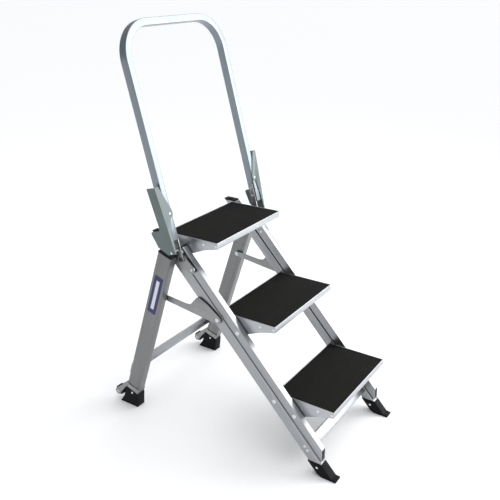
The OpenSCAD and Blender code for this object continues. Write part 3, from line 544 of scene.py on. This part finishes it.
@dataclass(frozen=True)
class FastenerStyle:
    """The shape of a fastener along X, in shares of its outer head's radius where not in metres.

    Args:
        shank: the shank's radius, as a share.
        inner: the inner head's radius, as a share.
        inner_height: the inner head's height, in metres.
        height: the outer head's height, in metres.
        hollow: the radius of the hollow in its crown, as a share.
        sides: the number of sides of that hollow, or 0 for a round one.
    """

    shank: float
    inner: float
    inner_height: float
    height: float
    hollow: float
    sides: int = 0

    def mesh(self, name: str, length: float, radius: float, steps: int = 24) -> bpy.types.Mesh:
        """Spins the fastener about X, from its inner end at the origin to its crown.

        Args:
            name: the mesh's name.
            length: its whole length.
            radius: its outer head's radius.
            steps: faces round it.

        Returns:
            A closed mesh.
        """
        inner_height = min(self.inner_height, 0.3 * length)
        seat = length - min(self.height, 0.6 * length)
        deep = seat + 0.35 * (length - seat)
        profile = [
            (0.0, 0.0, False), (0.0, self.inner, False), (inner_height, self.inner, False),
            (inner_height, self.shank, False), (seat, self.shank, False), (seat, 1.0, False),
            (seat + 0.35 * (length - seat), 0.97, False), (seat + 0.75 * (length - seat), 0.80, False),
            (length, 0.55, False), (length, self.hollow, True), (deep, self.hollow * 0.94, True),
            (deep, 0.0, False)]
        bm = bmesh.new()
        rings = []
        for x, share, shaped in profile:
            if share == 0.0:
                rings.append([bm.verts.new((x, 0.0, 0.0))])
                continue
            ring = []
            for k in range(steps):
                angle = 2 * math.pi * k / steps
                size = radius * share * (self._polygon(angle) if shaped else 1.0)
                ring.append(bm.verts.new((x, size * math.cos(angle), size * math.sin(angle))))
            rings.append(ring)
        for a, b in zip(rings, rings[1:]):
            for k in range(steps):
                corners = [a[k % len(a)], a[(k + 1) % len(a)], b[(k + 1) % len(b)], b[k % len(b)]]
                bm.faces.new(list(dict.fromkeys(corners)))
        bmesh.ops.recalc_face_normals(bm, faces=bm.faces)
        mesh = bpy.data.meshes.new(name)
        bm.to_mesh(mesh)
        bm.free()
        return mesh

    def _polygon(self, angle: float) -> float:
        """Returns how far out the hollow's edge lies at an angle, 1 for a round one."""
        if not self.sides:
            return 1.0
        half = math.pi / self.sides
        return math.cos(half) / math.cos(angle % (2 * half) - half)


PIVOT_BOLT = FastenerStyle(shank=0.57, inner=0.857, inner_height=0.003, height=0.0025, hollow=0.42,
                           sides=6)
RAIL_BOLT = FastenerStyle(shank=0.62, inner=1.0, inner_height=0.0008, height=0.0035, hollow=0.45, sides=6)
BLIND_RIVET = FastenerStyle(shank=0.54, inner=0.9, inner_height=0.0014, height=0.0016, hollow=0.34)


def merged(name: str, pieces: list[bpy.types.Object]) -> bpy.types.Object:
    """Joins plain pieces that share one material into a new piece and removes them."""
    bm = bmesh.new()
    material = pieces[0].data.materials[0]
    for piece in pieces:
        bm.from_mesh(piece.data)
        bpy.data.objects.remove(piece)
    mesh = bpy.data.meshes.new(name)
    bm.to_mesh(mesh)
    bm.free()
    joined = new_piece(name, mesh)
    paint(joined, material)
    return joined


# ---- Geometry node trees ----------------------------------------------------------------


class GeometryTree:
    """A Geometry Nodes tree with named inputs, ready to be put on a piece and baked."""

    def __init__(self, name: str, inputs: dict[str, tuple[str, object]]) -> None:
        """Starts the tree.

        Args:
            name: the tree's name.
            inputs: input name to its socket type and default.
        """
        self.tree = bpy.data.node_groups.new(name, "GeometryNodeTree")
        self.tree.interface.new_socket("Geometry", in_out="INPUT", socket_type="NodeSocketGeometry")
        for label, (kind, default) in inputs.items():
            socket = self.tree.interface.new_socket(label, in_out="INPUT", socket_type=kind)
            if default is not None:
                socket.default_value = default
        self.tree.interface.new_socket("Geometry", in_out="OUTPUT", socket_type="NodeSocketGeometry")
        self.w = Wiring(self.tree)
        self.given = self.w.add("NodeGroupInput")
        self.out = self.w.add("NodeGroupOutput")

    def finish(self, geometry: bpy.types.NodeSocket) -> None:
        """Ends the tree in Realize Instances and Set Material."""
        real = self.w.add("GeometryNodeRealizeInstances", {"Geometry": geometry})
        dressed = self.w.add("GeometryNodeSetMaterial", {
            "Geometry": real.outputs[0], "Material": self.given.outputs["Material"]})
        self.w.link(dressed.outputs[0], self.out.inputs[0])

    def grow(self, name: str, seed: bpy.types.Mesh, values: dict[str, object]) -> bpy.types.Object:
        """Runs the tree on a seed mesh.

        Args:
            name: the piece's name.
            seed: the mesh that the tree starts from.
            values: input name to its value.

        Returns:
            The piece as plain mesh.
        """
        piece = new_piece(name, seed)
        modifier = piece.modifiers.new(self.tree.name, "NODES")
        modifier.node_group = self.tree
        for item in self.tree.interface.items_tree:
            if item.in_out == "INPUT" and item.name in values:
                modifier[item.identifier] = values[item.name]
        bake(piece)
        return piece


def point_mesh(name: str, points: list[Vector]) -> bpy.types.Mesh:
    """Returns a mesh of loose points."""
    mesh = bpy.data.meshes.new(name)
    mesh.from_pydata([tuple(p) for p in points], [], [])
    return mesh


def scatter_tree() -> GeometryTree:
    """Returns the tree that puts one fastener on each point of its seed mesh."""
    tree = GeometryTree("fastener_on_points", {
        "Fastener": ("NodeSocketObject", None), "Turn": (VECTOR, (0.0, 0.0, 0.0)),
        "Material": ("NodeSocketMaterial", None)})
    w, given = tree.w, tree.given
    points = w.add("GeometryNodeMeshToPoints", {"Mesh": given.outputs["Geometry"]})
    source = w.add("GeometryNodeObjectInfo", {"Object": given.outputs["Fastener"]})
    turn = w.add("FunctionNodeEulerToRotation", {"Euler": given.outputs["Turn"]})
    copies = w.add("GeometryNodeInstanceOnPoints", {
        "Points": points.outputs[0], "Instance": source.outputs["Geometry"], "Rotation": turn.outputs[0]})
    tree.finish(copies.outputs[0])
    return tree


RIB_SIDES = 12
RIB_HALF_WIDTH = 0.34
RIB_SINK = 1.02


def mat_tree() -> GeometryTree:
    """Returns the tree of a ribbed rubber mat: a slab with rounded ribs across it."""
    tree = GeometryTree("ribbed_mat", {
        "Width": (FLOAT, 0.356), "Depth": (FLOAT, 0.2), "Thickness": (FLOAT, 0.004),
        "Pitch": (FLOAT, 0.0032), "Rib Height": (FLOAT, 0.0009), "Border": (FLOAT, 0.004),
        "Material": ("NodeSocketMaterial", None)})
    w, given = tree.w, tree.given
    o = given.outputs
    thickness = w.math("SUBTRACT", o["Thickness"], o["Rib Height"])
    slab_size = w.add("ShaderNodeCombineXYZ", {"X": o["Width"], "Y": o["Depth"], "Z": thickness})
    slab = w.add("GeometryNodeMeshCube", {"Size": slab_size.outputs[0]})
    sink = w.math("MULTIPLY", w.math("ADD", thickness, w.math("MULTIPLY", o["Rib Height"], 2.0)), -0.5)
    slab_place = w.add("ShaderNodeCombineXYZ", {"Z": sink})
    lowered = w.add("GeometryNodeTransform", {
        "Geometry": slab.outputs[0], "Translation": slab_place.outputs[0]})
    inner_w = w.math("SUBTRACT", o["Width"], w.math("MULTIPLY", o["Border"], 2.0))
    inner_d = w.math("SUBTRACT", o["Depth"], w.math("MULTIPLY", o["Border"], 2.0))
    count = w.math("FLOOR", w.math("DIVIDE", inner_d, o["Pitch"]))
    half = w.math("MULTIPLY", w.math("MULTIPLY", w.math("SUBTRACT", count, 1.0), o["Pitch"]), 0.5)
    start = w.add("ShaderNodeCombineXYZ", {"Y": w.math("MULTIPLY", half, -1.0), "Z": w.math(
        "MULTIPLY", o["Rib Height"], -RIB_SINK)})
    step = w.add("ShaderNodeCombineXYZ", {"Y": o["Pitch"]})
    row = w.add("GeometryNodeMeshLine", {
        "Count": count, "Start Location": start.outputs[0], "Offset": step.outputs[0]}, mode="OFFSET")
    rib = w.add("GeometryNodeMeshCylinder", {
        "Vertices": RIB_SIDES, "Radius": 1.0, "Depth": 1.0}, fill_type="NGON")
    laid = w.add("GeometryNodeTransform", {
        "Geometry": rib.outputs["Mesh"], "Rotation": (0.0, math.pi / 2, 0.0)})
    rib_scale = w.add("ShaderNodeCombineXYZ", {
        "X": inner_w, "Y": w.math("MULTIPLY", o["Pitch"], RIB_HALF_WIDTH), "Z": o["Rib Height"]})
    sized = w.add("GeometryNodeTransform", {"Geometry": laid.outputs[0], "Scale": rib_scale.outputs[0]})
    ribs = w.add("GeometryNodeInstanceOnPoints", {"Points": row.outputs[0], "Instance": sized.outputs[0]})
    joined = w.add("GeometryNodeJoinGeometry")
    w.link(lowered.outputs[0], joined.inputs[0])
    w.link(ribs.outputs[0], joined.inputs[0])
    tree.finish(joined.outputs[0])
    return tree


# ---- Sub-assemblies -------------------------------------------------------------------------


@dataclass
class Bench:
    """What every sub-assembly works with: the material shop and the shared trees."""

    shop: MaterialShop
    scatter: GeometryTree
    ribbed_mat: GeometryTree
    count: int = 0

    def settle(self, piece: bpy.types.Object, body: str, finish: Finish, *nodes: str) -> None:
        """Hangs a piece on its body and hides the nodes that it stands for."""
        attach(piece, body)
        if nodes:
            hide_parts(*nodes)
        self.count += 1
        LOG.info("%s rides on %s, %d faces", piece.name, body, len(piece.data.polygons))

    def dress(self, node: str, finish: Finish) -> None:
        """Gives a frame node, kept as it is, the material of a finish."""
        material = self.shop.get(finish)
        paint(frame_nodes[node], material)
        LOG.info("%s keeps its shape, in %s", node, material.name)

    def refine(self, node: str, name: str, body: str, finish: Finish, grain: Grain = Grain.LEVEL,
               rounding: EdgeRound = EdgeRound()) -> bpy.types.Object:
        """Makes a rounded, dressed copy that stands for a frame node.

        Args:
            node: the frame node.
            name: the piece's name.
            body: the body that it rides on.
            finish: its finish.
            grain: the way that its metal was drawn.
            rounding: how its edges are rounded.

        Returns:
            The piece.
        """
        piece = rounded_copy(node, name, rounding)
        paint(piece, self.shop.get(finish, grain))
        self.settle(piece, body, finish, node)
        return piece

    def fasten(self, node: str, name: str, body: str, finish: Finish,
               style: FastenerStyle) -> bpy.types.Object:
        """Stands a detailed fastener, its head outwards, in the place of each solid of a frame node.

        Args:
            node: the frame node, whose solids run along X.
            name: the piece's name.
            body: the body that it rides on.
            finish: its finish.
            style: its shape.

        Returns:
            The piece, as one plain mesh.
        """
        groups: dict[tuple[int, float, float], list[Vector]] = {}
        for low, high in islands(node):
            side = 1 if low.x + high.x > 0 else -1
            start = Vector((low.x if side > 0 else high.x, (low.y + high.y) / 2, (low.z + high.z) / 2))
            key = (side, round(high.x - low.x, 5), round((high.z - low.z) / 2, 5))
            groups.setdefault(key, []).append(start)
        grown = []
        for number, ((side, length, radius), points) in enumerate(sorted(groups.items())):
            shape = style.mesh(f"{name}_pattern", length, radius)
            pattern = bpy.data.objects.new(f"{name}_pattern", shape)
            grown.append(self.scatter.grow(f"{name}_{number}", point_mesh(f"{name}_{number}", points), {
                "Fastener": pattern, "Turn": (0.0, 0.0, 0.0 if side > 0 else math.pi),
                "Material": self.shop.get(finish)}))
            bpy.data.objects.remove(pattern)
        piece = merged(name, grown)
        smooth_by_angle(piece.data, 38.0)
        self.settle(piece, body, finish, node)
        return piece


@dataclass
class LowerFrame:
    """The lower rails with their end plugs, front feet, cross bar and fasteners."""

    bench: Bench
    body: str = "base_frame"
    tube_round: EdgeRound = EdgeRound(0.0016, 3)
    rubber_round: EdgeRound = EdgeRound(0.0018, 3, 0.004)

    def build(self) -> None:
        """Makes and dresses the pieces."""
        for side in Side:
            self.bench.refine(f"lower_rail_{side.label}", f"lower_tube_{side.label}", self.body,
                              RAIL_ALUMINIUM, Grain.RAIL, self.tube_round)
            self.bench.refine(f"front_foot_{side.label}", f"front_boot_{side.label}", self.body,
                              FOOT_RUBBER, Grain.RAIL, self.rubber_round)
        self.bench.refine("lower_rail_plugs", "lower_end_plugs", self.body, CAP_PLASTIC, Grain.RAIL,
                          EdgeRound(0.0012, 3))
        self.bench.refine("front_cross_bar", "cross_bar", self.body, RAIL_ALUMINIUM, Grain.LEVEL,
                          EdgeRound(0.001))
        self.bench.fasten("front_foot_screws", "boot_rivets", self.body, RIVET_ALUMINIUM, BLIND_RIVET)
        self.bench.fasten("front_cross_bar_rivets", "cross_bar_rivets", self.body, RIVET_ALUMINIUM,
                          BLIND_RIVET)
        self.bench.fasten("rear_pivot_bolts", "lower_tube_bolts", self.body, BOLT_STEEL, PIVOT_BOLT)
        self.bench.dress("rear_pivot_washers", WASHER_NYLON)


@dataclass
class UpperFrame:
    """The upper rails, their plugs, the hinge plates and the pivot hardware."""

    bench: Bench
    body: str = "upper_frame"
    tube_round: EdgeRound = EdgeRound(0.0016, 3)

    def build(self) -> None:
        """Makes and dresses the pieces."""
        for side in Side:
            self.bench.refine(f"upper_rail_{side.label}", f"upper_tube_{side.label}", self.body,
                              RAIL_ALUMINIUM, Grain.RAIL, self.tube_round)
            self.bench.refine(f"hinge_plate_{side.label}", f"pivot_plate_{side.label}", self.body,
                              ZINC_STEEL, Grain.RAIL, EdgeRound(0.0006))
        self.bench.refine("upper_rail_plugs", "upper_end_plugs", self.body, CAP_PLASTIC, Grain.RAIL,
                          EdgeRound(0.001, 3))
        self.bench.fasten("front_pivot_bolts", "upper_tube_bolts", self.body, BOLT_STEEL, PIVOT_BOLT)
        self.bench.dress("leg_pivot_bolts", BOLT_STEEL)
        for node in ("front_pivot_washers", "leg_pivot_washers"):
            self.bench.dress(node, WASHER_NYLON)
        self.bench.dress("hinge_plate_spacers", ZINC_STEEL)
        self.bench.fasten("hinge_plate_rivets", "pivot_plate_rivets", self.body, RIVET_ALUMINIUM,
                          BLIND_RIVET)
        self.bench.fasten("handrail_pivot_bolts", "hoop_pivot_bolts", self.body, BLACK_STEEL, RAIL_BOLT)


@dataclass
class Tread:
    """One tread: its sheet tray, the ribbed mat let into it and its rivets."""

    bench: Bench
    place: str
    tray_round: EdgeRound = EdgeRound(0.0009, 3)
    rib_pitch: float = 0.0042
    rib_height: float = 0.0011
    mat_border: float = 0.003

    @property
    def body(self) -> str:
        """The body that the whole tread rides on."""
        return f"{self.place}_tread"

    def build(self) -> None:
        """Makes and dresses the pieces."""
        self.bench.refine(f"tread_{self.place}", f"{self.place}_tray", self.body, TREAD_ALUMINIUM,
                          Grain.LEVEL, self.tray_round)
        self._lay_mat()
        self.bench.fasten(f"tread_rivets_{self.place}", f"{self.place}_tray_rivets", self.body,
                          RIVET_ALUMINIUM, BLIND_RIVET)

    def _lay_mat(self) -> None:
        """Grows the ribbed mat and lays it where the frame's plain one is."""
        node = f"mat_{self.place}"
        low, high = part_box(node)
        size = high - low
        mat = self.bench.ribbed_mat.grow(f"{self.place}_mat", bpy.data.meshes.new(node + "_seed"), {
            "Width": size.x, "Depth": size.y, "Thickness": size.z, "Pitch": self.rib_pitch,
            "Rib Height": self.rib_height, "Border": self.mat_border,
            "Material": self.bench.shop.get(MAT_RUBBER)})
        top = Vector(((low.x + high.x) / 2, (low.y + high.y) / 2, high.z))
        mat.data.transform(Matrix.Translation(top))
        smooth_by_angle(mat.data, 40.0)
        self.bench.settle(mat, self.body, MAT_RUBBER, node)


@dataclass
class RearFrame:
    """The rear legs with their caps, feet, cross brace, wheel brackets and label."""

    bench: Bench
    body: str = "rear_frame"
    tube_round: EdgeRound = EdgeRound(0.002, 3)
    rubber_round: EdgeRound = EdgeRound(0.0022, 3, 0.004)
    panel_half_length: float = 0.058
    panel_half_width: float = 0.0065
    panel_strength: float = 0.9
    label_navy: tuple[float, float, float] = (0.012, 0.016, 0.115)
    panel_colour: tuple[float, float, float, float] = (0.78, 0.79, 0.82, 1.0)

    def build(self) -> None:
        """Makes and dresses the pieces."""
        for side in Side:
            self.bench.refine(f"rear_leg_{side.label}", f"leg_tube_{side.label}", self.body,
                              LEG_ALUMINIUM, Grain.LEG, self.tube_round)
            self.bench.refine(f"leg_cap_{side.label}", f"leg_top_cap_{side.label}", self.body,
                              CAP_PLASTIC, Grain.LEG, EdgeRound(0.0018, 3))
            self.bench.refine(f"rear_foot_{side.label}", f"rear_boot_{side.label}", self.body,
                              FOOT_RUBBER, Grain.LEVEL, self.rubber_round)
            self.bench.refine(f"wheel_bracket_{side.label}", f"wheel_yoke_{side.label}", self.body,
                              ZINC_STEEL, Grain.LEG, EdgeRound(0.0005))
        self.bench.refine("rear_cross_brace", "leg_brace", self.body, RAIL_ALUMINIUM, Grain.LEVEL,
                          EdgeRound(0.0008))
        self.bench.fasten("rear_foot_rivets", "rear_boot_rivets", self.body, RIVET_ALUMINIUM, BLIND_RIVET)
        self.bench.dress("rear_brace_rivets", RIVET_ALUMINIUM)
        self.bench.dress("wheel_axles", BOLT_STEEL)
        self._stick_label()

    def _stick_label(self) -> None:
        """Dresses the plain label with a navy field and a pale blank panel."""
        paint(frame_nodes["label_plate"], self._label_film())
        LOG.info("label_plate keeps its shape, in a plain two-colour film")

    def _label_film(self) -> bpy.types.Material:
        """Returns the label's material: navy, with one blank pale panel inside a border."""
        low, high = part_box("label_plate")
        shop = self.bench.shop
        material, w, shader, place = shop.start("label_film", Grain.LEG)
        middle = Euler((Grain.LEG.value, 0.0, 0.0)).to_matrix() @ ((low + high) / 2)
        centred = w.vector("SUBTRACT", place, tuple(middle))
        part = w.add("ShaderNodeSeparateXYZ", {0: centred})
        along = w.math("ABSOLUTE", part.outputs["Y"])
        across = w.math("ABSOLUTE", part.outputs["Z"])
        inside = w.math("MULTIPLY", w.math("LESS_THAN", along, self.panel_half_length),
                        w.math("LESS_THAN", across, self.panel_half_width))
        field_tone = shop.place_group(w, shop.effects.mottle, {
            "Vector": place, "Scale": 40.0, "Amount": 0.15})
        navy = w.vector("MULTIPLY", self.label_navy, shop.spread(w, field_tone.outputs["Factor"]))
        shown = w.math("MULTIPLY", inside, self.panel_strength)
        w.link(w.mix(shown, navy, self.panel_colour), shader.inputs["Base Color"])
        w.link(w.remap(field_tone.outputs["Cloud"], 0.0, 1.0, 0.28, 0.4), shader.inputs["Roughness"])
        return material


@dataclass
class Wheel:
    """One transport wheel: a moulded hub and a solid tyre."""

    bench: Bench
    side: Side

    def build(self) -> None:
        """Makes and dresses the pieces."""
        body = f"{self.side.label}_wheel"
        self.bench.refine(f"wheel_hub_{self.side.label}", f"{self.side.label}_wheel_disc", body,
                          WHEEL_PLASTIC, Grain.LEVEL, EdgeRound(0.0006, 2, 0.001))
        self.bench.refine(f"wheel_tyre_{self.side.label}", f"{self.side.label}_wheel_ring", body,
                          TYRE_RUBBER, Grain.LEVEL, EdgeRound(0.0016, 3, 0.001))


@dataclass
class Links:
    """The gusset links between the lower rails and the rear legs."""

    bench: Bench
    body: str = "links"

    def build(self) -> None:
        """Makes and dresses the pieces."""
        for side in Side:
            self.bench.refine(f"link_{side.label}", f"gusset_{side.label}", self.body, ZINC_STEEL,
                              Grain.LEVEL, EdgeRound(0.0007))
        self.bench.dress("link_end_pins", BOLT_STEEL)


@dataclass
class Handrail:
    """The hoop with its angle brackets, straps and fasteners."""

    bench: Bench
    body: str = "handrail"
    hoop_round: EdgeRound = EdgeRound(0.003, 4)

    def build(self) -> None:
        """Makes and dresses the pieces."""
        self.bench.refine("handrail_hoop", "hoop_tube", self.body, HANDRAIL_ALUMINIUM, Grain.HANDRAIL,
                          self.hoop_round)
        for side in Side:
            self.bench.refine(f"handrail_bracket_{side.label}", f"hook_bracket_{side.label}", self.body,
                              BRACKET_PAINT, Grain.HANDRAIL, EdgeRound(0.0008))
            self.bench.refine(f"handrail_strap_{side.label}", f"hoop_strap_{side.label}", self.body,
                              ZINC_STEEL, Grain.HANDRAIL, EdgeRound(0.0006))
        self.bench.dress("handrail_spacers", ZINC_STEEL)
        self.bench.dress("handrail_bolts", RIVET_ALUMINIUM)


# ---- Stage ----------------------------------------------------------------------------------------


@dataclass(frozen=True)
class StudioCamera:
    """Where the camera stands and how it is turned."""

    place: tuple[float, float, float] = (-1.6697, -1.1504, 1.4422)
    turn: tuple[float, float, float] = (67.577, 0.996, -55.835)
    lens: float = 47.56
    sensor: float = 36.0

    def set_up(self) -> None:
        """Adds the camera and makes it the scene's."""
        data = bpy.data.cameras.new("camera")
        data.lens = self.lens
        data.sensor_width = self.sensor
        camera = bpy.data.objects.new("camera", data)
        camera.location = self.place
        camera.rotation_euler = Euler([math.radians(a) for a in self.turn])
        bpy.context.scene.collection.objects.link(camera)
        bpy.context.scene.camera = camera


@dataclass(frozen=True)
class SoftLight:
    """One area light that looks at a point."""

    name: str
    place: tuple[float, float, float]
    size: float
    power: float
    target: tuple[float, float, float] = (0.0, 0.0, 0.6)

    def set_up(self) -> None:
        """Adds the light."""
        data = bpy.data.lights.new(self.name, "AREA")
        data.size = self.size
        data.energy = self.power
        light = bpy.data.objects.new(self.name, data)
        light.location = self.place
        aim = Vector(self.target) - Vector(self.place)
        light.rotation_euler = aim.to_track_quat("-Z", "Y").to_euler()
        bpy.context.scene.collection.objects.link(light)


@dataclass
class Studio:
    """The pale floor, the soft lights and the world."""

    floor_size: float = 400.0
    floor_tone: float = 0.93
    dim: float = 0.45
    bright: float = 1.9
    bright_way: tuple[float, float, float] = (0.45, -0.70, 0.55)
    sky_colour: tuple[float, float, float, float] = (0.97, 0.985, 1.0, 1.0)
    lights: list[SoftLight] = field(default_factory=lambda: [
        SoftLight("right_key", (2.0, -1.8, 1.6), 2.4, 54.0),
        SoftLight("overhead", (0.3, 0.3, 3.4), 2.4, 14.0)])

    def set_up(self) -> None:
        """Adds everything that isn't the stool."""
        bpy.context.scene.view_settings.view_transform = "Standard"
        self._lay_floor()
        self._light_sky()
        for light in self.lights:
            light.set_up()

    def _lay_floor(self) -> None:
        """Lays the pale floor."""
        half = self.floor_size / 2
        mesh = bpy.data.meshes.new("floor")
        mesh.from_pydata([(-half, -half, 0.0), (half, -half, 0.0), (half, half, 0.0), (-half, half, 0.0)],
                         [], [(0, 1, 2, 3)])
        floor = new_piece("floor", mesh)
        material = bpy.data.materials.new("pale_floor")
        material.use_nodes = True
        shader = material.node_tree.nodes["Principled BSDF"]
        shader.inputs["Base Color"].default_value = (self.floor_tone,) * 3 + (1.0,)
        shader.inputs["Roughness"].default_value = 0.9
        shader.inputs["Specular IOR Level"].default_value = 0.1
        mesh.materials.append(material)

    def _light_sky(self) -> None:
        """Lights the stool from all round, most from high at the front right."""
        world = bpy.data.worlds.new("soft_white")
        world.use_nodes = True
        w = Wiring(world.node_tree)
        way = w.add("ShaderNodeTexCoord").outputs["Generated"]
        facing = w.add("ShaderNodeVectorMath", {0: way, 1: self.bright_way}, operation="DOT_PRODUCT")
        strength = w.remap(facing.outputs["Value"], 0.0, 1.0, self.dim, self.bright)
        background = world.node_tree.nodes["Background"]
        w.link(strength, background.inputs["Strength"])
        background.inputs["Color"].default_value = self.sky_colour
        bpy.context.scene.world = world


def main() -> None:
    logging.basicConfig(level=logging.INFO, format="%(name)s: %(message)s")
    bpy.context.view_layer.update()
    StudioCamera().set_up()
    Studio().set_up()
    bench = Bench(MaterialShop(SharedEffects()), scatter_tree(), mat_tree())
    LowerFrame(bench).build()
    UpperFrame(bench).build()
    for place in ("bottom", "middle", "top"):
        Tread(bench, place).build()
    RearFrame(bench).build()
    for side in Side:
        Wheel(bench, side).build()
    Links(bench).build()
    Handrail(bench).build()
    LOG.info("%d pieces stand for frame nodes", bench.count)


if __name__ == "__main__":
    main()
